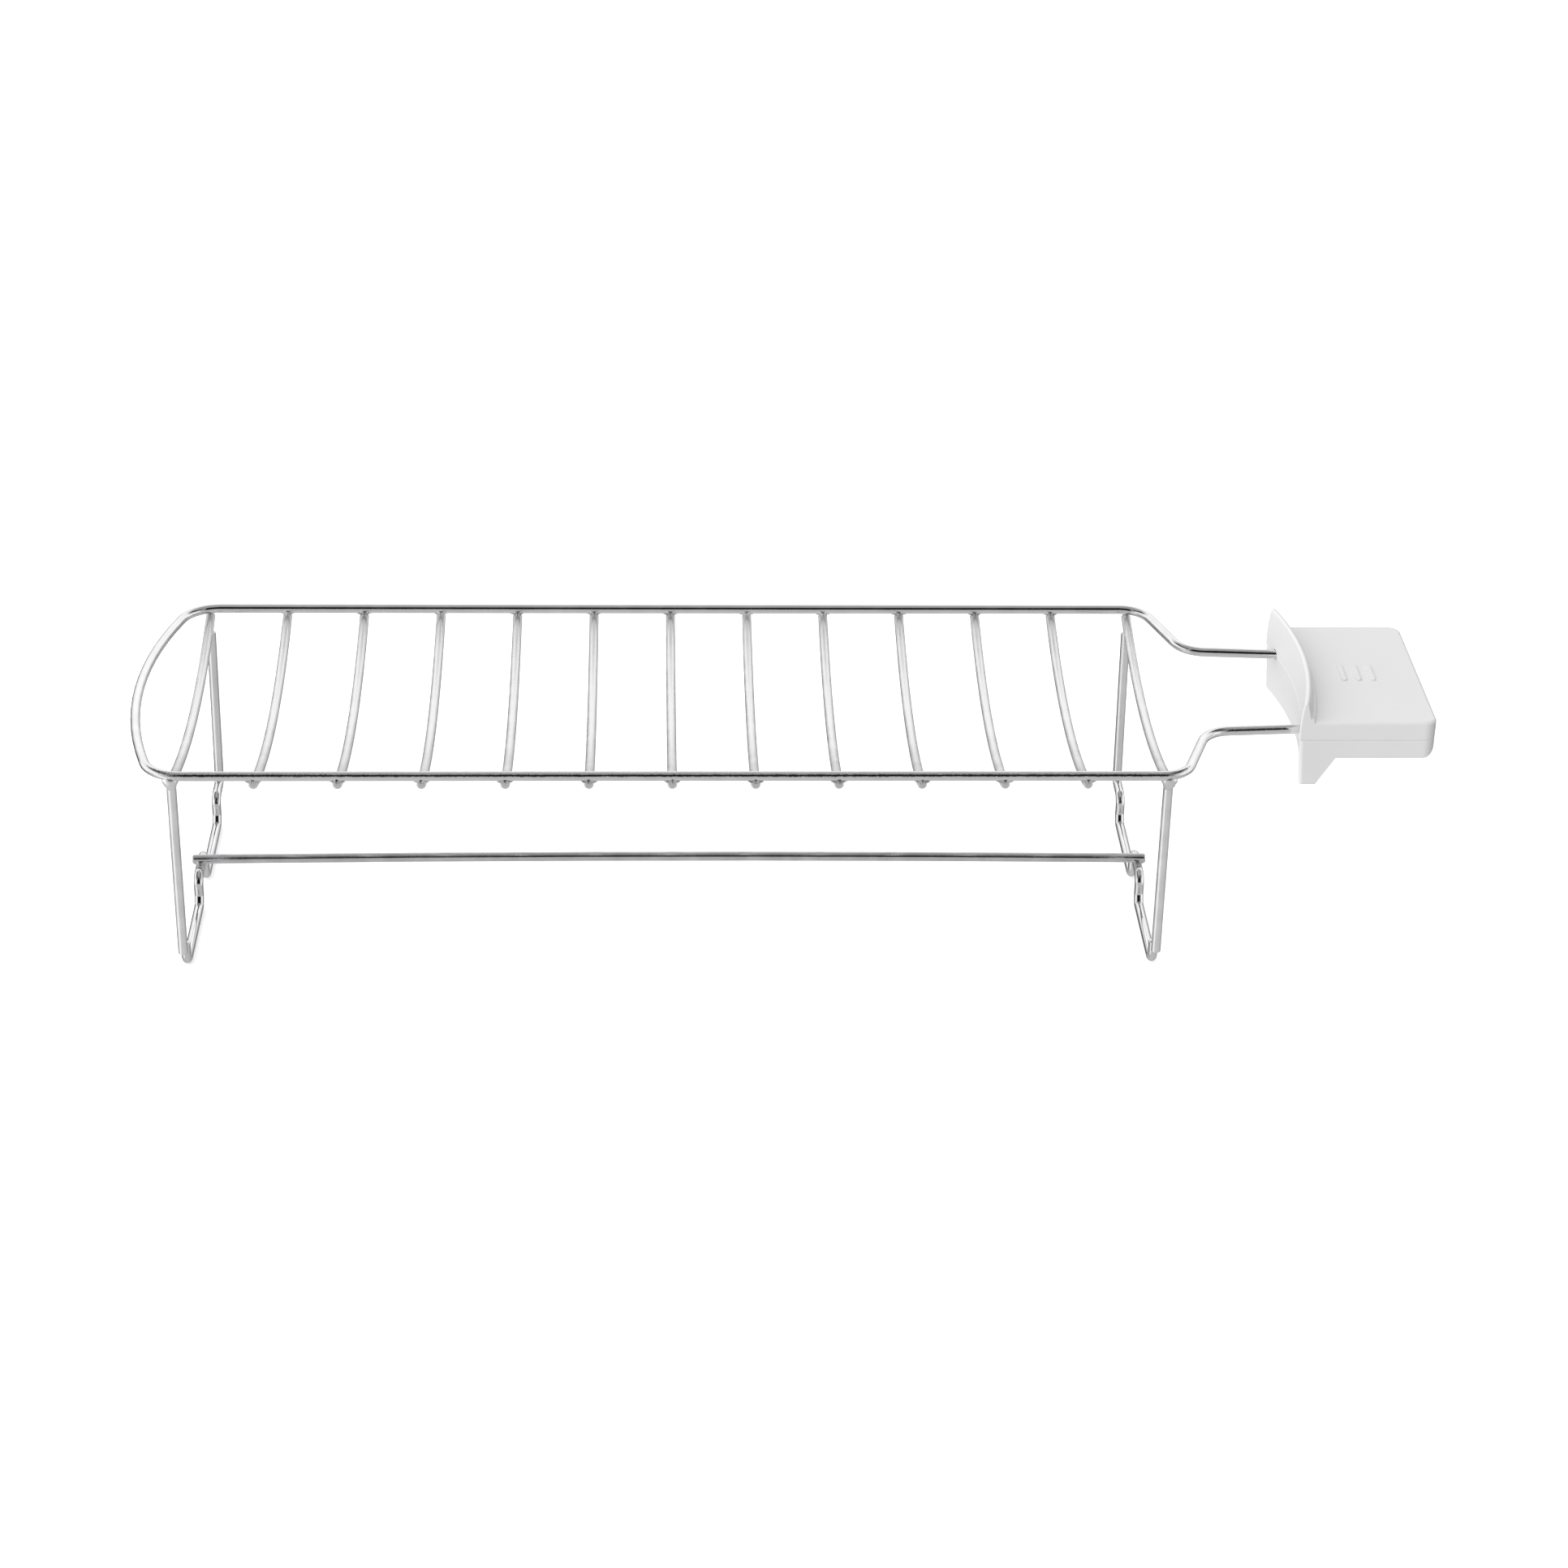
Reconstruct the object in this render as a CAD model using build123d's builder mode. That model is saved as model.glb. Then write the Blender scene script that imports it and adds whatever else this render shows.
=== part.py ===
from build123d import *
import os
from math import asin, cos, degrees, radians, sqrt, tan

# Bun-warming rack of welded chromed steel wire with a moulded two-shell handle.
# It stands on the rim of a long-slot toaster, with the two U-bends of each end wire in the slots.
# Frame: +X points to the handle, -Y is the front and +Z is up. The origin is on the surface that
# the feet stand on, at the centre of the bounding box in X and Y. Sizes are in millimetres.

# ---- wire ----
wire_d = 3.0
wire_r = wire_d / 2
weld_bite = 0.35                     # how far two crossing wires sink into each other
weld_step = wire_d - weld_bite       # distance between the centres of two welded wires
end_round = 0.5                      # rounding of a cropped wire end

# ---- tray: top frame and ribs ----
rail_spacing = 118.0                 # front rail to rear rail, centre to centre
rail_y = rail_spacing / 2
rail_z = 70.0                        # height of the top frame's centre line
rib_count = 11                       # ribs between the two end ribs
rib_pitch = 25.4
end_rib_x = rib_pitch * (rib_count + 1) / 2
rib_sag = 8.7                        # depth of the trough at mid width
rib_overhang = 0.6                   # rib end past the rail's centre line

# ---- left end of the top frame ----
bulge_reach = 168.4                  # middle rib to the furthest point of the end bow
bulge_r = 170.0
bulge_slope = 17.1                   # angle between the bow's end tangent and the Y axis
corner_r = 12.0

# ---- right end of the top frame: shoulders and neck ----
shoulder_x = 157.0
shoulder_r = 10.0
neck_x = 167.5
neck_r = 10.5
neck_y = 28.5                        # half the spacing of the neck wires at the tray
neck_drop = 0.6                      # neck wires lie this much below the rails
hook_x = 222.0                       # the wire ends turn inwards here, inside the handle
hook_y = 24.8                        # half the spacing of the neck wires at the hooks
hook_len = 9.0
hook_r = 4.0

# ---- end wires that stand in the toaster slots, and the bar between them ----
foot_x = 151.5                       # plane of each end wire, from the middle rib
foot_z = wire_r
bridge_z = 10.9                      # wire height between and behind the two U-bends
front_end_y = -54.4                  # upturned front end
front_end_top = 9.0
front_riser_y = -17.6
rear_fall_y = -0.6
rear_riser_y = 36.2
rear_leg_y = 47.8
rear_leg_top_y = 51.0                # the rear leg leans back up to its weld under the end rib
easy_bend_r = 3.5
corner_rise = 3.4                    # an inner corner starts this high as a slope
corner_run = 1.7                     # length of the slope along Y
slope_bend_r = 3.0                   # easy bend into the slope
crease_bend_r = 1.7                  # sharp bend out of it
front_leg_x = 152.0
front_leg_y = -57.2
front_leg_bottom = 6.5
bar_y = -10.0
bar_half_length = 153.9
bar_rise = 0.9                       # the bar arches up this much at its middle
bar_tip_straight = 20.0              # straight stretch at each end of the bar

# ---- handle ----
handle_width = 69.2
handle_end_x = 238.9                 # free end, from the middle rib
top_depth = 6.3                      # parting plane to top face
bottom_depth = 6.2                   # parting plane to underside
guard_end_x = 195.5                  # rack side of the finger guard at its two ends
guard_mid_x = 200.0                  # the same at mid width
guard_up = 12.9
guard_down = 15.7
guard_lean = 0.7                     # setback of the guard's upper edge
guard_draft = 0.9                    # setback of the guard's lower edge
guard_edge = 1.6                     # thickness of the upper edge
guard_base = 3.4                     # thickness where the guard meets the top face
guard_straight = 3.0                 # the guard's face rises straight to here, then leans
guard_overlap = 2.4                  # the body starts this far inside the guard
guard_top_r = 0.5                    # rounding of the upper half's two ends
guard_corner_r = 1.2                 # rounding of the lower half's two upright corners
guard_foot_r = 0.6                   # rounding of its lower edge
cove_r = 1.2
gusset_foot = 6.1
gusset_run = 11.8
end_corner_r = 3.8
top_edge_r = 1.0
under_end_r = 4.0
parting_chamfer = 0.2
wall = 2.4
channel_gap = 0.15                   # clearance round the wire in its channel
pocket_start_x = 209.0
pocket_half_width = 20.0
boss_r = 3.4
screw_x = 217.0
screw_y = 9.0
screw_d = 2.9
screw_length = 7.2
screw_head_d = 5.6
screw_head_h = 2.0
screw_head_chamfer = 0.4
screw_hole_d = 3.2
pilot_hole_d = 3.0
head_well_d = 6.4
head_well_depth = 2.6
drive_slot = 3.2
drive_slot_w = 0.8
grip_bar_length = 11.0
grip_bar_w = 1.8
grip_bar_h = 0.45
grip_bar_round = 0.35
grip_bar_pitch = 4.6
grip_bar_count = 3
grip_bar_x = 219.0

# ---- places that follow from the sizes ----
left_reach = bulge_reach + wire_r
mid_x = (left_reach - handle_end_x) / 2        # middle rib in the part's frame
neck_z = rail_z - neck_drop
rib_r = (rail_y ** 2 + rib_sag ** 2) / (2 * rib_sag)
rib_slope = asin(rail_y / rib_r)
rib_rail_z = rail_z - weld_step / cos(rib_slope)
bar_z = bridge_z + weld_step
bar_arc_run = bar_half_length - bar_tip_straight
bar_apex = bar_rise / (1 - bar_arc_run / (2 * bar_half_length))
bar_bend_r = bar_arc_run * bar_half_length / bar_apex
handle_half = handle_width / 2
guard_hollow = guard_mid_x - guard_end_x
guard_r = (handle_half ** 2 + guard_hollow ** 2) / (2 * guard_hollow)
guard_axis_x = guard_mid_x - guard_r
rim_height = neck_z + top_depth
under_height = neck_z - bottom_depth
pocket_end_x = handle_end_x - wall
pocket_mid_x = mid_x + (pocket_start_x + pocket_end_x) / 2
pocket_length = pocket_end_x - pocket_start_x
screw_places = [(mid_x + screw_x, -screw_y), (mid_x + screw_x, screw_y)]
seat_z = under_height + head_well_depth

os.makedirs("parts", exist_ok=True)


def save(piece, name):
    """Label one finished piece and write its STEP file."""
    piece.part.label = name
    export_step(piece.part, f"parts/{name}.step")


def wire_along(points, radii, radius=wire_r):
    """A round wire along straight runs joined by tangent arcs."""
    with BuildPart() as wire:
        with BuildLine() as route:
            FilletPolyline(*points, radius=radii)
        with BuildSketch(Plane(origin=route.line @ 0, z_dir=route.line % 0)):
            Circle(radius)
        sweep(path=route.line)
    return wire


# ---- top frame: one wire from one hook inside the handle, round the tray, to the other ----
slope = radians(bulge_slope)
bow_apex_x = -(bulge_reach + bulge_r * (1 / cos(slope) - 1))
bow_corner_x = bow_apex_x + rail_y * tan(slope)
front_half = [
    (mid_x + hook_x, -(hook_y - hook_len), neck_z),
    (mid_x + hook_x, -hook_y, neck_z),
    (mid_x + neck_x, -neck_y, neck_z),
    (mid_x + shoulder_x, -rail_y, rail_z),
    (mid_x + bow_corner_x, -rail_y, rail_z),
]
rear_half = [(x, -y, z) for x, y, z in reversed(front_half)]
bow_apex = (mid_x + bow_apex_x, 0, rail_z)
half_radii = [hook_r, neck_r, shoulder_r, corner_r]
frame_radii = half_radii + [bulge_r] + half_radii[::-1]
frame_wire = wire_along(front_half + [bow_apex] + rear_half, frame_radii)
save(frame_wire, "frame_wire")


# ---- ribs: shallow arcs welded under both rails ----
def rib_height(y):
    """Centre-line height of a rib at a distance y from mid width."""
    return rib_rail_z - rib_sag + rib_r - sqrt(rib_r ** 2 - y ** 2)


def make_rib(x):
    rib_end = rail_y + rib_overhang
    end_height = rib_height(rib_end)
    with BuildPart() as rib:
        with BuildLine() as arc:
            ThreePointArc((x, -rib_end, end_height), (x, 0, rib_height(0)), (x, rib_end, end_height))
        with BuildSketch(Plane(origin=arc.line @ 0, z_dir=arc.line % 0)):
            Circle(wire_r)
        sweep(path=arc.line)
        fillet(rib.faces().filter_by(GeomType.PLANE).edges(), radius=end_round)
        add(frame_wire.part, mode=Mode.SUBTRACT)
    return rib


for number in range(1, rib_count + 1):
    rib_x = mid_x + (number - (rib_count + 1) / 2) * rib_pitch
    save(make_rib(rib_x), f"cross_rib_{number:02d}")

end_ribs = {}
for side, sign in (("left", -1), ("right", 1)):
    end_ribs[side] = make_rib(mid_x + sign * end_rib_x)
    save(end_ribs[side], f"end_rib_{side}")


# ---- end wires: rear leg, two U-bends for the toaster slots and an upturned front end ----
def make_end_wire(x, end_rib):
    inner_corner = [slope_bend_r, crease_bend_r]
    points = [
        (x, rear_leg_top_y, rib_height(rear_leg_top_y)),
        (x, rear_leg_y, bridge_z + corner_rise),
        (x, rear_leg_y - corner_run, bridge_z),
        (x, rear_riser_y, bridge_z),
        (x, rear_riser_y, foot_z + corner_rise),
        (x, rear_riser_y - corner_run, foot_z),
        (x, rear_fall_y, foot_z),
        (x, rear_fall_y, bridge_z),
        (x, front_riser_y, bridge_z),
        (x, front_riser_y, foot_z + corner_rise),
        (x, front_riser_y - corner_run, foot_z),
        (x, front_end_y, foot_z),
        (x, front_end_y, front_end_top),
    ]
    radii = inner_corner + [easy_bend_r]
    radii += inner_corner + [easy_bend_r] * 3
    radii += inner_corner + [easy_bend_r]
    swept = wire_along(points, radii)
    with BuildPart() as end_wire:
        add(swept.part)
        fillet(end_wire.faces().filter_by(Plane.XY).sort_by(Axis.Z)[0].edges(), radius=end_round)
        add(end_rib.part, mode=Mode.SUBTRACT)
    return end_wire


def make_front_leg(x, end_rib, end_wire):
    with BuildPart() as leg:
        with BuildSketch(Plane.XY.offset(front_leg_bottom)):
            with Locations((x, front_leg_y)):
                Circle(wire_r)
        extrude(amount=rib_rail_z - front_leg_bottom)
        fillet(leg.faces().sort_by(Axis.Z)[0].edges(), radius=end_round)
        for neighbour in (frame_wire, end_rib, end_wire):
            add(neighbour.part, mode=Mode.SUBTRACT)
    return leg


end_wires = {}
for side, sign in (("left", -1), ("right", 1)):
    end_wires[side] = make_end_wire(mid_x + sign * foot_x, end_ribs[side])
    save(end_wires[side], f"slot_foot_wire_{side}")
    front_leg = make_front_leg(mid_x + sign * front_leg_x, end_ribs[side], end_wires[side])
    save(front_leg, f"front_leg_{side}")

# ---- lower bar: ties the two end wires together across the bridge between their U-bends ----
bar_points = [
    (mid_x - bar_half_length, bar_y, bar_z),
    (mid_x, bar_y, bar_z + bar_apex),
    (mid_x + bar_half_length, bar_y, bar_z),
]
arched_bar = wire_along(bar_points, [bar_bend_r])
with BuildPart() as lower_bar:
    add(arched_bar.part)
    fillet(lower_bar.faces().filter_by(GeomType.PLANE).edges(), radius=end_round)
    for side in end_wires:
        add(end_wires[side].part, mode=Mode.SUBTRACT)
save(lower_bar, "lower_bar")

# ---- handle ----
channels = wire_along(front_half[:3], [hook_r], radius=wire_r + channel_gap)


def body_outline():
    """Plan outline of the handle body with its two rounded corners at the free end."""
    length = handle_end_x - guard_end_x
    with Locations((mid_x + guard_end_x + length / 2, 0)):
        outline = Rectangle(length, handle_width)
    fillet(outline.vertices().group_by(Axis.X)[-1], radius=end_corner_r)
    with Locations((mid_x + guard_axis_x, 0)):
        Circle(guard_r + guard_overlap, mode=Mode.SUBTRACT)


def guard_plane():
    """Upright section plane of the guard, its origin on the parting plane at mid width."""
    return Plane(origin=(mid_x + guard_mid_x, 0, neck_z), x_dir=(1, 0, 0), z_dir=(0, -1, 0))


def sweep_guard():
    """Turn the pending half section about the guard's upright axis, mirror it and trim its ends."""
    axis = Axis((mid_x + guard_axis_x, 0, 0), (0, 0, 1))
    revolve(axis=axis, revolution_arc=2 * degrees(asin(handle_half / guard_r)))
    mirror(about=Plane.XZ)
    with Locations((mid_x + guard_mid_x, 0, neck_z)):
        Box(4 * wall * handle_width, handle_width, 4 * guard_down, mode=Mode.INTERSECT)


def hollow_out(depth, boss_radius):
    """Cut the shell's shallow pocket, leaving a boss round each screw."""
    with BuildSketch(Plane.XY.offset(neck_z)) as pocket:
        with Locations((pocket_mid_x, 0)):
            RectangleRounded(pocket_length, 2 * pocket_half_width, 2 * wall)
        with Locations(*screw_places):
            Circle(boss_radius, mode=Mode.SUBTRACT)
    extrude(pocket.sketch, amount=depth, mode=Mode.SUBTRACT)


def bore_at_screws(height, diameter, depth):
    """Bore both screw places upwards from a height."""
    with BuildSketch(Plane.XY.offset(height)) as bores:
        with Locations(*screw_places):
            Circle(diameter / 2)
    extrude(bores.sketch, amount=depth, mode=Mode.SUBTRACT)


def cut_wire_channels():
    add(channels.part, mode=Mode.SUBTRACT)
    add(channels.part.mirror(Plane.XZ), mode=Mode.SUBTRACT)


with BuildPart() as upper_guard:
    with BuildSketch(guard_plane()):
        with BuildLine():
            edge_z = guard_up - guard_edge / 2
            face = Line((0, 0), (0, guard_straight))
            lean = TangentArc(face @ 1, (guard_lean, edge_z), tangent=face % 1)
            rim_top = (guard_lean + guard_edge / 2, guard_up)
            rim = ThreePointArc(lean @ 1, rim_top, (guard_lean + guard_edge, edge_z))
            back = Line(rim @ 1, (guard_base, top_depth + cove_r))
            cove = RadiusArc(back @ 1, (guard_base + cove_r, top_depth), cove_r)
            Polyline(cove @ 1, (guard_base + cove_r, 0), (0, 0))
        make_face()
    sweep_guard()
    rim_edges = ShapeList()
    for end_face in upper_guard.faces().filter_by(Plane.XZ):
        outside_body = end_face.edges().sort_by(Axis.X)[:-1]
        rim_edges += outside_body.sort_by(Axis.Z)[1:]
    fillet(rim_edges, radius=guard_top_r)

with BuildPart() as handle_top_shell:
    with BuildSketch(Plane.XY.offset(neck_z)):
        body_outline()
    extrude(amount=top_depth)
    fillet(handle_top_shell.edges().group_by(Axis.Z)[-1], radius=top_edge_r)
    add(upper_guard.part)
    chamfer(handle_top_shell.edges().group_by(Axis.Z)[0], length=parting_chamfer)
    hollow_out(top_depth - wall, boss_r)
    bore_at_screws(neck_z, pilot_hole_d, top_depth - wall)
    cut_wire_channels()
    with BuildSketch(Plane.XY.offset(rim_height)):
        with Locations((mid_x + grip_bar_x, 0)):
            with GridLocations(grip_bar_pitch, 0, grip_bar_count, 1):
                SlotOverall(grip_bar_length, grip_bar_w, rotation=90)
    extrude(amount=grip_bar_h)
    bar_tops = handle_top_shell.faces().filter_by(Plane.XY).sort_by(Axis.Z)[-grip_bar_count:]
    fillet(bar_tops.edges(), radius=grip_bar_round)
save(handle_top_shell, "handle_top_shell")

with BuildPart() as lower_guard:
    with BuildSketch(guard_plane()):
        with BuildLine():
            Polyline(
                (0, 0),
                (guard_draft, -guard_down),
                (gusset_foot, -guard_down),
                (gusset_run, -bottom_depth),
                (gusset_run, 0),
                (0, 0),
            )
        make_face()
    sweep_guard()
    end_faces = lower_guard.faces().filter_by(Plane.XZ)
    fillet([end_face.edges().sort_by(Axis.X)[0] for end_face in end_faces], radius=guard_corner_r)
    fillet(lower_guard.edges().group_by(Axis.Z)[0], radius=guard_foot_r)

with BuildPart() as handle_bottom_shell:
    with BuildSketch(Plane.XY.offset(under_height)):
        body_outline()
    extrude(amount=bottom_depth)
    with BuildSketch(Plane.XZ):
        with BuildLine():
            side = FilletPolyline(
                (mid_x + guard_end_x, under_height),
                (mid_x + handle_end_x, under_height),
                (mid_x + handle_end_x, neck_z),
                radius=under_end_r,
            )
            Polyline(side @ 1, (mid_x + guard_end_x, neck_z), side @ 0)
        make_face()
    extrude(amount=handle_width, both=True, mode=Mode.INTERSECT)
    add(lower_guard.part)
    chamfer(handle_bottom_shell.edges().group_by(Axis.Z)[-1], length=parting_chamfer)
    hollow_out(-(bottom_depth - wall), head_well_d / 2 + wall)
    bore_at_screws(under_height, head_well_d, head_well_depth)
    bore_at_screws(under_height, screw_hole_d, bottom_depth)
    cut_wire_channels()
save(handle_bottom_shell, "handle_bottom_shell")

# ---- two pan-head screws that clamp the shells over the wire ends ----
with BuildPart() as handle_screws:
    with BuildSketch(Plane.XY.offset(seat_z)):
        with Locations(*screw_places):
            Circle(screw_head_d / 2)
    extrude(amount=-screw_head_h)
    chamfer(handle_screws.faces().sort_by(Axis.Z)[:2].edges(), length=screw_head_chamfer)
    with BuildSketch(Plane.XY.offset(seat_z)):
        with Locations(*screw_places):
            Circle(screw_d / 2)
    extrude(amount=screw_length)
    with BuildSketch(Plane.XY.offset(seat_z - screw_head_h)):
        with Locations(*screw_places):
            Rectangle(drive_slot, drive_slot_w)
            Rectangle(drive_slot_w, drive_slot)
    extrude(amount=screw_head_h / 2, mode=Mode.SUBTRACT)
save(handle_screws, "handle_screws")
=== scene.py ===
import math

import bmesh
import bpy
from mathutils import Matrix, Vector, noise


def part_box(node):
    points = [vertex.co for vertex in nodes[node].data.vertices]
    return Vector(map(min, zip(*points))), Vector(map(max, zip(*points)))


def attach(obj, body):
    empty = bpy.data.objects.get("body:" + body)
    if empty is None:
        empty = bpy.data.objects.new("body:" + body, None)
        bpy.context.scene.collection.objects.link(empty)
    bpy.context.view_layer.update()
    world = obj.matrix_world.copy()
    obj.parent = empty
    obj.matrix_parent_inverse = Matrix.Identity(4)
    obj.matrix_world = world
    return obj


# A bun-warming rack of chromed wire with a white two-shell handle, in metres, in the CAD frame.
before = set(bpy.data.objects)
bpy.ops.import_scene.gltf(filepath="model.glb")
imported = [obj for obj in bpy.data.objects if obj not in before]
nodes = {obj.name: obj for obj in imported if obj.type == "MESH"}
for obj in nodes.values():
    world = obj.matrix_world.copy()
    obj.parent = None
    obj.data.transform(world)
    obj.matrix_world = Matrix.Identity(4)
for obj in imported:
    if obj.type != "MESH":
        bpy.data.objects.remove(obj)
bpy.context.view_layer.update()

MM = 0.001
WIRE_R = 1.5 * MM
WELD_BITE = 0.35 * MM


# ---- places read from the CAD ----
def middle(node):
    low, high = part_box(node)
    return (low + high) / 2


frame_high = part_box("frame_wire")[1]
RAIL_Z = frame_high.z - WIRE_R
RAIL_Y = frame_high.y - WIRE_R
TRAY_X = middle("cross_rib_06").x
RIB_X = [middle(f"cross_rib_{number:02d}").x for number in range(1, 12)]
SIDES = ("left", "right")


# ---- materials ----
def make_node(tree, kind, settings=None, **inputs):
    made = tree.nodes.new(kind)
    for name, value in (settings or {}).items():
        setattr(made, name, value)
    for name, value in inputs.items():
        made.inputs[name.replace("_", " ")].default_value = value
    return made


def new_material(name):
    """A node material with a Principled shader and object coordinates."""
    material = bpy.data.materials.new(name)
    material.use_nodes = True
    tree = material.node_tree
    tree.nodes.clear()
    shader = make_node(tree, "ShaderNodeBsdfPrincipled")
    output = make_node(tree, "ShaderNodeOutputMaterial")
    tree.links.new(shader.outputs["BSDF"], output.inputs["Surface"])
    coords = make_node(tree, "ShaderNodeTexCoord")
    return material, tree, shader, coords.outputs["Object"]


def noise_field(tree, coords, scale, detail=2.0, stretch=(1, 1, 1)):
    """Noise at so many cells a metre, drawn out along an axis where stretch is small."""
    mapping = make_node(tree, "ShaderNodeMapping", Scale=stretch)
    tree.links.new(coords, mapping.inputs["Vector"])
    field = make_node(tree, "ShaderNodeTexNoise", Scale=scale, Detail=detail)
    tree.links.new(mapping.outputs["Vector"], field.inputs["Vector"])
    return field.outputs["Fac"]


def remap(tree, field, low, high, start=0.3, end=0.7):
    ramp = make_node(tree, "ShaderNodeMapRange")
    ramp.inputs["From Min"].default_value = start
    ramp.inputs["From Max"].default_value = end
    ramp.inputs["To Min"].default_value = low
    ramp.inputs["To Max"].default_value = high
    tree.links.new(field, ramp.inputs["Value"])
    return ramp.outputs["Result"]


def tint(tree, field, dark, light):
    ramp = make_node(tree, "ShaderNodeValToRGB")
    ramp.color_ramp.elements[0].position = 0.3
    ramp.color_ramp.elements[0].color = (*dark, 1)
    ramp.color_ramp.elements[1].position = 0.7
    ramp.color_ramp.elements[1].color = (*light, 1)
    tree.links.new(field, ramp.inputs["Fac"])
    return ramp.outputs["Color"]


def stack_bumps(tree, shader, layers):
    """Bumps laid one on the other. A layer is a field and its height in metres."""
    below = None
    for field, height in layers:
        bump = make_node(tree, "ShaderNodeBump", Strength=1.0, Distance=height)
        tree.links.new(field, bump.inputs["Height"])
        if below:
            tree.links.new(below, bump.inputs["Normal"])
        below = bump.outputs["Normal"]
    tree.links.new(below, shader.inputs["Normal"])


def place_part(tree, coords, axis):
    """One coordinate of the shaded point."""
    split = make_node(tree, "ShaderNodeSeparateXYZ")
    tree.links.new(coords, split.inputs["Vector"])
    return split.outputs[axis]


def combine(tree, operation, first, second):
    made = make_node(tree, "ShaderNodeMath", {"operation": operation})
    tree.links.new(first, made.inputs[0])
    tree.links.new(second, made.inputs[1])
    return made.outputs["Value"]


def chrome(name, dark, light, roughness, along, ripple, grain, fineness=900, smoother_at_rear=False,
           satin_above=None):
    """Plated drawn wire: long drawing marks, ripples in the plating and a slightly uneven gloss."""
    material, tree, shader, coords = new_material(name)
    shader.inputs["Metallic"].default_value = 1.0
    stretch = [1.0, 1.0, 1.0]
    if along is not None:
        stretch[along] = 0.04
    ripples = noise_field(tree, coords, fineness, 3.0)
    marks = noise_field(tree, coords, 6000, 2.0, stretch)
    clouds = noise_field(tree, coords, 160, 4.0)
    if smoother_at_rear:
        share = remap(tree, place_part(tree, coords, "Y"), 1.0, 0.15, -0.05, 0.0)
        ripples = combine(tree, "MULTIPLY", ripples, share)
    gloss = remap(tree, clouds, *roughness)
    if satin_above:
        height = place_part(tree, coords, "Z")
        extra = remap(tree, height, 0.0, 0.2, satin_above, satin_above + 8 * MM)
        gloss = combine(tree, "ADD", gloss, extra)
    tree.links.new(tint(tree, clouds, dark, light), shader.inputs["Base Color"])
    tree.links.new(gloss, shader.inputs["Roughness"])
    stack_bumps(tree, shader, [(ripples, ripple * MM), (marks, grain * MM)])
    return material


def white_plastic(name):
    """Satin moulded plastic: a fine spark texture, faint flow marks and an uneven sheen."""
    material, tree, shader, coords = new_material(name)
    shader.inputs["IOR"].default_value = 1.49
    flow = noise_field(tree, coords, 45, 3.0, (1.0, 0.35, 1.0))
    spark = noise_field(tree, coords, 5200, 2.0)
    tone = tint(tree, flow, (0.735, 0.735, 0.733), (0.765, 0.765, 0.765))
    tree.links.new(tone, shader.inputs["Base Color"])
    tree.links.new(remap(tree, flow, 0.30, 0.40), shader.inputs["Roughness"])
    stack_bumps(tree, shader, [(spark, 0.004 * MM), (flow, 0.02 * MM)])
    return material


CHROME_LIGHT = (0.83, 0.83, 0.835)
CHROME_DARK = (0.76, 0.76, 0.77)
rail_chrome = chrome("chrome_rails", CHROME_DARK, CHROME_LIGHT, (0.05, 0.12), 0, 0.075, 0.001,
                     fineness=2000, smoother_at_rear=True)
bar_chrome = chrome("chrome_bar", (0.58, 0.58, 0.59), (0.70, 0.70, 0.71), (0.12, 0.20), 0, 0.016, 0.001)
leg_chrome = chrome("chrome_legs", (0.80, 0.80, 0.81), (0.88, 0.88, 0.88), (0.24, 0.34), 2, 0.004, 0.001)
bend_chrome = chrome("chrome_bends", CHROME_DARK, CHROME_LIGHT, (0.04, 0.09), None, 0.004, 0.0005,
                     satin_above=15 * MM)
rib_chrome = chrome("chrome_ribs", (0.76, 0.76, 0.765), (0.84, 0.84, 0.84), (0.24, 0.36), 1, 0.004, 0.001)
weld_chrome = chrome("chrome_welds", (0.30, 0.30, 0.31), (0.80, 0.80, 0.80), (0.05, 0.20), None, 0.14,
                     0.002)
screw_zinc = chrome("zinc_screws", (0.48, 0.49, 0.50), (0.62, 0.62, 0.61), (0.26, 0.40), None, 0.006, 0.002)
plastic = white_plastic("white_plastic")

finishes = {
    "frame_wire": rail_chrome,
    "lower_bar": bar_chrome,
    "handle_top_shell": plastic,
    "handle_bottom_shell": plastic,
    "handle_screws": screw_zinc,
}
for side in SIDES:
    finishes[f"end_rib_{side}"] = rib_chrome
    finishes[f"front_leg_{side}"] = leg_chrome
    finishes[f"slot_foot_wire_{side}"] = bend_chrome
for number in range(1, len(RIB_X) + 1):
    finishes[f"cross_rib_{number:02d}"] = rib_chrome
for name, material in finishes.items():
    nodes[name].data.materials.clear()
    nodes[name].data.materials.append(material)


# ---- welds: the small lumps and flash that the CAD leaves out ----
def close_rings(bm, rings):
    """Skin rings of vertices in order. A ring of one vertex is a tip."""
    for lower, upper in zip(rings, rings[1:]):
        count = max(len(lower), len(upper))
        for k in range(count):
            after = (k + 1) % count
            near = [lower[k % len(lower)], lower[after % len(lower)]]
            far = [upper[after % len(upper)], upper[k % len(upper)]]
            bm.faces.new(list(dict.fromkeys(near + far)))


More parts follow.
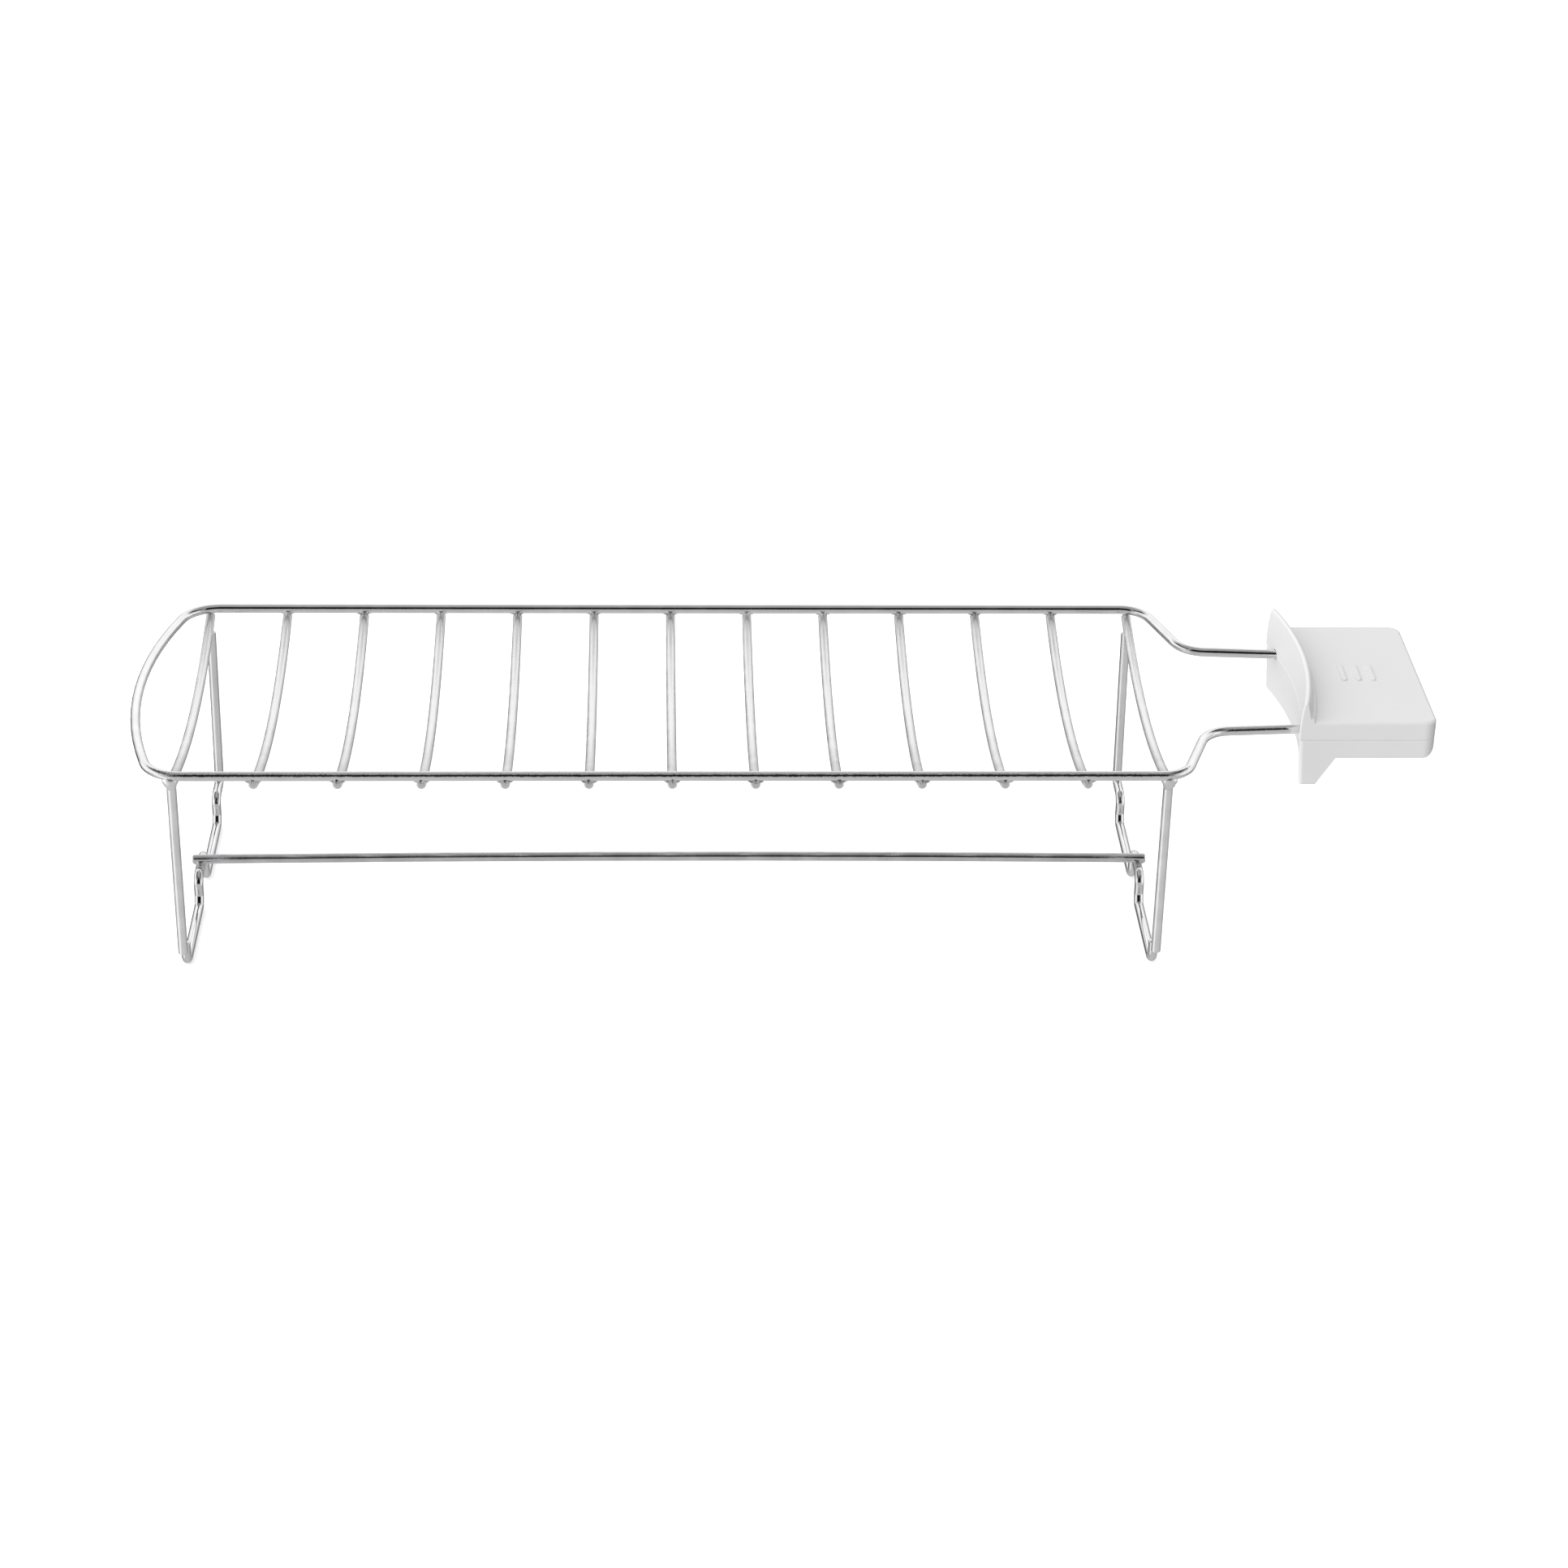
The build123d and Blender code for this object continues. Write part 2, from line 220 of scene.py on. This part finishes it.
def add_flash(bm, centre, along, across, thickness, seed):
    """A pinched-out star of metal where two crossing wires were pressed together."""
    spokes, steps = 28, 5
    shift = Vector((seed * 3.7, seed * 1.3, 0))

    def ring(rho, face):
        made = []
        for k in range(spokes):
            turn = 2 * math.pi * k / spokes
            way = Vector((math.cos(turn), math.sin(turn), 0))
            lobe = abs(math.cos(2 * turn)) ** 1.3
            reach = along * way.x ** 2 + across * way.y ** 2
            reach *= (0.45 + 0.55 * lobe) * (1 + 0.35 * noise.noise(2.1 * way + shift))
            lump = 1 + 0.5 * noise.noise(3 * rho * way + Vector((0, 0, face)) + shift)
            rise = Vector((0, 0, face * thickness * math.sqrt(1 - rho * rho) * lump))
            made.append(bm.verts.new(centre + reach * rho * way + rise))
        return made

    top = [bm.verts.new(centre + Vector((0, 0, thickness)))]
    bottom = [bm.verts.new(centre - Vector((0, 0, thickness)))]
    rings = [bottom]
    rings += [ring(step / steps, -1) for step in range(1, steps)]
    rings += [ring(1.0, 1)]
    rings += [ring(step / steps, 1) for step in range(steps - 1, 0, -1)]
    rings += [top]
    close_rings(bm, rings)


def add_bead(bm, sections, seed, lump=0.08):
    """A lump of weld metal lofted through level sections, each a centre and two radii."""
    spokes = 28
    shift = Vector((seed * 2.9, seed * 5.1, 0))
    rings = []
    for centre, radius_x, radius_y in sections:
        made = []
        for k in range(spokes):
            turn = 2 * math.pi * k / spokes
            way = Vector((math.cos(turn), math.sin(turn), 0))
            rough = 1 + lump * noise.noise(2 * way + Vector((0, 0, centre.z / MM)) + shift)
            made.append(bm.verts.new(centre + Vector((radius_x * way.x, radius_y * way.y, 0)) * rough))
        rings.append(made)
    first, last = sections[0][0], sections[-1][0]
    close_rings(bm, [[bm.verts.new(first)]] + rings + [[bm.verts.new(last)]])


def finish_piece(bm, name, material, smooth_levels=1):
    """Turn a bmesh into a smooth object that rides on the rack's one body."""
    bmesh.ops.recalc_face_normals(bm, faces=bm.faces)
    mesh = bpy.data.meshes.new(name)
    bm.to_mesh(mesh)
    bm.free()
    for face in mesh.polygons:
        face.use_smooth = True
    piece = bpy.data.objects.new(name, mesh)
    bpy.context.scene.collection.objects.link(piece)
    mesh.materials.append(material)
    rounding = piece.modifiers.new("rounding", "SUBSURF")
    rounding.levels = smooth_levels
    rounding.render_levels = smooth_levels
    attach(piece, "root")
    return piece


# Bead where a front leg meets the rail: drop below the rail's middle, two radii and how far it leans
# forward, in millimetres.
LEG_BEAD = [
    (5.4, 1.46, 1.46, 0.0),
    (4.7, 1.56, 1.62, 0.25),
    (4.0, 1.72, 1.90, 0.7),
    (3.2, 1.95, 2.05, 1.0),
    (2.5, 2.30, 2.10, 1.25),
    (1.8, 2.60, 2.05, 1.45),
    (1.2, 2.45, 1.90, 1.6),
    (0.6, 1.80, 1.60, 1.75),
    (0.1, 0.90, 1.00, 1.8),
]
# Bead between the front leg and the upturned end of the foot wire: height above the leg's end, half width.
TIP_BEAD = [(0.2, 0.5), (0.7, 0.85), (1.3, 1.0), (1.9, 0.95), (2.4, 0.6)]

contact_z = RAIL_Z - WIRE_R + WELD_BITE / 2
for name, sign in (("front", -1), ("rear", 1)):
    welds = bmesh.new()
    for number, x in enumerate(RIB_X):
        place = Vector((x, sign * (RAIL_Y + 0.3 * MM), contact_z - 0.1 * MM))
        add_flash(welds, place, 2.8 * MM, 1.9 * MM, 0.80 * MM, number + 20 * (sign + 1))
    finish_piece(welds, f"weld_{name}_ribs", weld_chrome)

leg_tops = bmesh.new()
foot_tips = bmesh.new()
bar_ends = bmesh.new()
rear_legs = bmesh.new()
bar_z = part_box("lower_bar")[0].z
for number, side in enumerate(SIDES):
    leg = middle(f"front_leg_{side}")
    leg_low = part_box(f"front_leg_{side}")[0]
    sections = [
        (Vector((leg.x, leg.y - forward * MM, RAIL_Z - drop * MM)), half_x * MM, half_y * MM)
        for drop, half_x, half_y, forward in LEG_BEAD
    ]
    add_bead(leg_tops, sections, number + 1)

    end_wire_low, end_wire_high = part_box(f"slot_foot_wire_{side}")
    foot_x = (end_wire_low.x + end_wire_high.x) / 2
    seam_y = (leg.y + WIRE_R + end_wire_low.y) / 2
    sections = [
        (Vector(((leg.x + foot_x) / 2, seam_y, leg_low.z + rise * MM)), width * MM, 0.8 * width * MM)
        for rise, width in TIP_BEAD
    ]
    add_bead(foot_tips, sections, number + 5, 0.2)

    bar_y = middle("lower_bar").y
    bar_foot = Vector((foot_x, bar_y, bar_z + 0.1 * MM))
    add_flash(bar_ends, bar_foot, 2.7 * MM, 2.2 * MM, 0.6 * MM, number + 61)

    rib = middle(f"end_rib_{side}")
    leg_top = Vector(((foot_x + rib.x) / 2, end_wire_high.y - WIRE_R, end_wire_high.z - 0.3 * MM))
    add_flash(rear_legs, leg_top, 1.3 * MM, 1.7 * MM, 0.5 * MM, number + 71)
finish_piece(leg_tops, "weld_leg_tops", rib_chrome)
finish_piece(foot_tips, "weld_foot_tips", rib_chrome)
finish_piece(bar_ends, "weld_bar_ends", weld_chrome)
finish_piece(rear_legs, "weld_rear_leg_tops", weld_chrome)


# ---- stage: a white floor that rises into a backdrop, and cards seen only in reflections ----
# The floor glows a little, which hides the rack's faint shadow on it.
def stage_object(name, mesh, material):
    made = bpy.data.objects.new(name, mesh)
    bpy.context.scene.collection.objects.link(made)
    mesh.materials.append(material)
    for face in mesh.polygons:
        face.use_smooth = True
    return made


def make_floor():
    """A disc that curves up into a round wall."""
    flat, bend, wall, turns = 3.0, 1.2, 2.5, 96
    profile = [(0.02, 0.0), (0.3, 0.0), (1.0, 0.0), (flat, 0.0)]
    for step in range(6, 91, 6):
        angle = math.radians(step)
        profile.append((flat + bend * math.sin(angle), bend * (1 - math.cos(angle))))
    profile.append((flat + bend, bend + wall))
    bm = bmesh.new()
    gap = 0.1 * MM
    rings = [[bm.verts.new((TRAY_X, 0, -gap))]]
    for radius, height in profile:
        ring = []
        for k in range(turns):
            angle = 2 * math.pi * k / turns
            across, along = radius * math.cos(angle), radius * math.sin(angle)
            ring.append(bm.verts.new((TRAY_X + across, along, height - gap)))
        rings.append(ring)
    close_rings(bm, rings)
    mesh = bpy.data.meshes.new("floor")
    bm.to_mesh(mesh)
    bm.free()
    material, tree, shader, coords = new_material("pale_floor")
    shader.inputs["Roughness"].default_value = 0.9
    shader.inputs["Specular IOR Level"].default_value = 0.1
    shader.inputs["Emission Color"].default_value = (1, 1, 1, 1)
    shader.inputs["Emission Strength"].default_value = 0.35
    material.cycles.emission_sampling = "NONE"
    mottle = noise_field(tree, coords, 12, 3.0)
    tone = tint(tree, mottle, (0.955, 0.955, 0.955), (0.97, 0.97, 0.97))
    tree.links.new(tone, shader.inputs["Base Color"])
    floor = stage_object("floor", mesh, material)
    floor.visible_glossy = False
    floor.visible_diffuse = False
    floor.visible_shadow = False


def ease(value, low, high):
    t = min(max((value - low) / (high - low), 0.0), 1.0)
    return t * t * (3 - 2 * t)


def along_ramp(ramp, value):
    for (a, level_a), (b, level_b) in zip(ramp, ramp[1:]):
        if value <= b:
            return level_a + (level_b - level_a) * ease(value, a, b)
    return ramp[-1][1]


# Brightness against the height angle, in front of the rack and behind it.
FRONT_RAMP = [(-90, 0.61), (0, 0.56), (60, 0.40), (90, 0.38)]
REAR_RAMP = [(-90, 0.62), (-45, 0.48), (-30, 0.32), (-22, 0.38), (-12, 0.58), (0, 0.68), (12, 1.02),
             (25, 1.20), (38, 1.08), (48, 0.68), (60, 0.43), (90, 0.38)]
# Cards: direction round from the front, height angle, half sizes, softness of the edge and brightness.
CARDS = [
    (-90, 6, 34, 17, 7, 1.15),
    (-90, 46, 42, 11, 4, 0.05),
    (90, 6, 34, 17, 7, 1.10),
    (90, 46, 42, 11, 4, 0.05),
    (-58, -28, 16, 18, 8, 1.10),
    (-140, -22, 22, 15, 6, 0.08),
    (140, -22, 20, 14, 6, 0.25),
    (0, 37, 40, 26, 4, 0.005),
]


def card_glow(azimuth, height):
    behind = ease(abs(azimuth), 60, 120)
    level = (1 - behind) * along_ramp(FRONT_RAMP, height) + behind * along_ramp(REAR_RAMP, height)
    for centre_az, centre_el, half_az, half_el, edge, value in CARDS:
        off_az = abs((azimuth - centre_az + 180) % 360 - 180)
        cover = 1 - ease(off_az, half_az - edge, half_az + edge)
        cover *= 1 - ease(abs(height - centre_el), half_el - edge, half_el + edge)
        level += (value - level) * cover
    return level


def make_card_dome():
    """The studio's walls and cards on one dome, which lights nothing and is seen only in gloss."""
    radius, columns, rows = 1.35, 240, 120
    centre = Vector((TRAY_X, 0, RAIL_Z))
    bm = bmesh.new()
    rings = []
    levels = []
    for row in range(rows + 1):
        height = -90 + 180 * row / rows
        ring = []
        for column in range(columns if 0 < row < rows else 1):
            azimuth = -180 + 360 * column / columns
            round_z = Matrix.Rotation(math.radians(azimuth), 3, "Z")
            outward = round_z @ Matrix.Rotation(math.radians(-height), 3, "X") @ Vector((0, -1, 0))
            ring.append(bm.verts.new(centre + outward * radius))
            levels.append(card_glow(azimuth, height))
        rings.append(ring)
    close_rings(bm, rings)
    mesh = bpy.data.meshes.new("card_dome")
    bm.to_mesh(mesh)
    bm.free()
    glow = mesh.color_attributes.new("glow", "FLOAT_COLOR", "POINT")
    for item, level in zip(glow.data, levels):
        item.color = (level, level, level, 1)
    material = bpy.data.materials.new("cards")
    material.use_nodes = True
    tree = material.node_tree
    tree.nodes.clear()
    read = make_node(tree, "ShaderNodeAttribute", {"attribute_name": "glow"})
    light = make_node(tree, "ShaderNodeEmission", Strength=1.0)
    output = make_node(tree, "ShaderNodeOutputMaterial")
    tree.links.new(read.outputs["Color"], light.inputs["Color"])
    tree.links.new(light.outputs["Emission"], output.inputs["Surface"])
    material.cycles.emission_sampling = "NONE"
    dome = stage_object("card_dome", mesh, material)
    dome.visible_camera = False
    dome.visible_diffuse = False
    dome.visible_shadow = False
    dome.visible_transmission = False


make_floor()
make_card_dome()

# Soft light from all round: strongest from the left, a little from the front and above.
world = bpy.data.worlds.new("studio")
bpy.context.scene.world = world
world.use_nodes = True
sky = world.node_tree
sky.nodes.clear()
direction = make_node(sky, "ShaderNodeTexCoord")
lean = make_node(sky, "ShaderNodeVectorMath", {"operation": "DOT_PRODUCT"})
lean.inputs[1].default_value = (-0.76, -0.15, 0.30)
level = make_node(sky, "ShaderNodeMath", {"operation": "ADD"})
level.inputs[1].default_value = 0.83
background = make_node(sky, "ShaderNodeBackground", Color=(1, 1, 1, 1))
sky_output = make_node(sky, "ShaderNodeOutputWorld")
sky.links.new(direction.outputs["Generated"], lean.inputs[0])
sky.links.new(lean.outputs["Value"], level.inputs[0])
sky.links.new(level.outputs["Value"], background.inputs["Strength"])
sky.links.new(background.outputs["Background"], sky_output.inputs["Surface"])

# ---- camera ----
PITCH, YAW, ROLL = (math.radians(a) for a in (28.237, 2.394, 1.102))
CAMERA_PLACE = Vector((TRAY_X - 0.00635, -1.02444, RAIL_Z + 0.51616))
camera_data = bpy.data.cameras.new("camera")
camera_data.sensor_width = 36.0
camera_data.lens = 82.63
camera_data.clip_start = 0.05
camera_data.clip_end = 50.0
camera = bpy.data.objects.new("camera", camera_data)
bpy.context.scene.collection.objects.link(camera)
ahead = Vector((math.sin(YAW) * math.cos(PITCH), math.cos(YAW) * math.cos(PITCH), -math.sin(PITCH)))
level_right = ahead.cross(Vector((0, 0, 1))).normalized()
level_up = level_right.cross(ahead)
right = level_right * math.cos(ROLL) + level_up * math.sin(ROLL)
up = level_up * math.cos(ROLL) - level_right * math.sin(ROLL)
turn = Matrix((right, up, -ahead)).transposed().to_4x4()
camera.matrix_world = Matrix.Translation(CAMERA_PLACE) @ turn
bpy.context.scene.camera = camera

view = bpy.context.scene.view_settings
view.view_transform = "Standard"
view.look = "None"
view.exposure = 0.0
view.gamma = 1.0
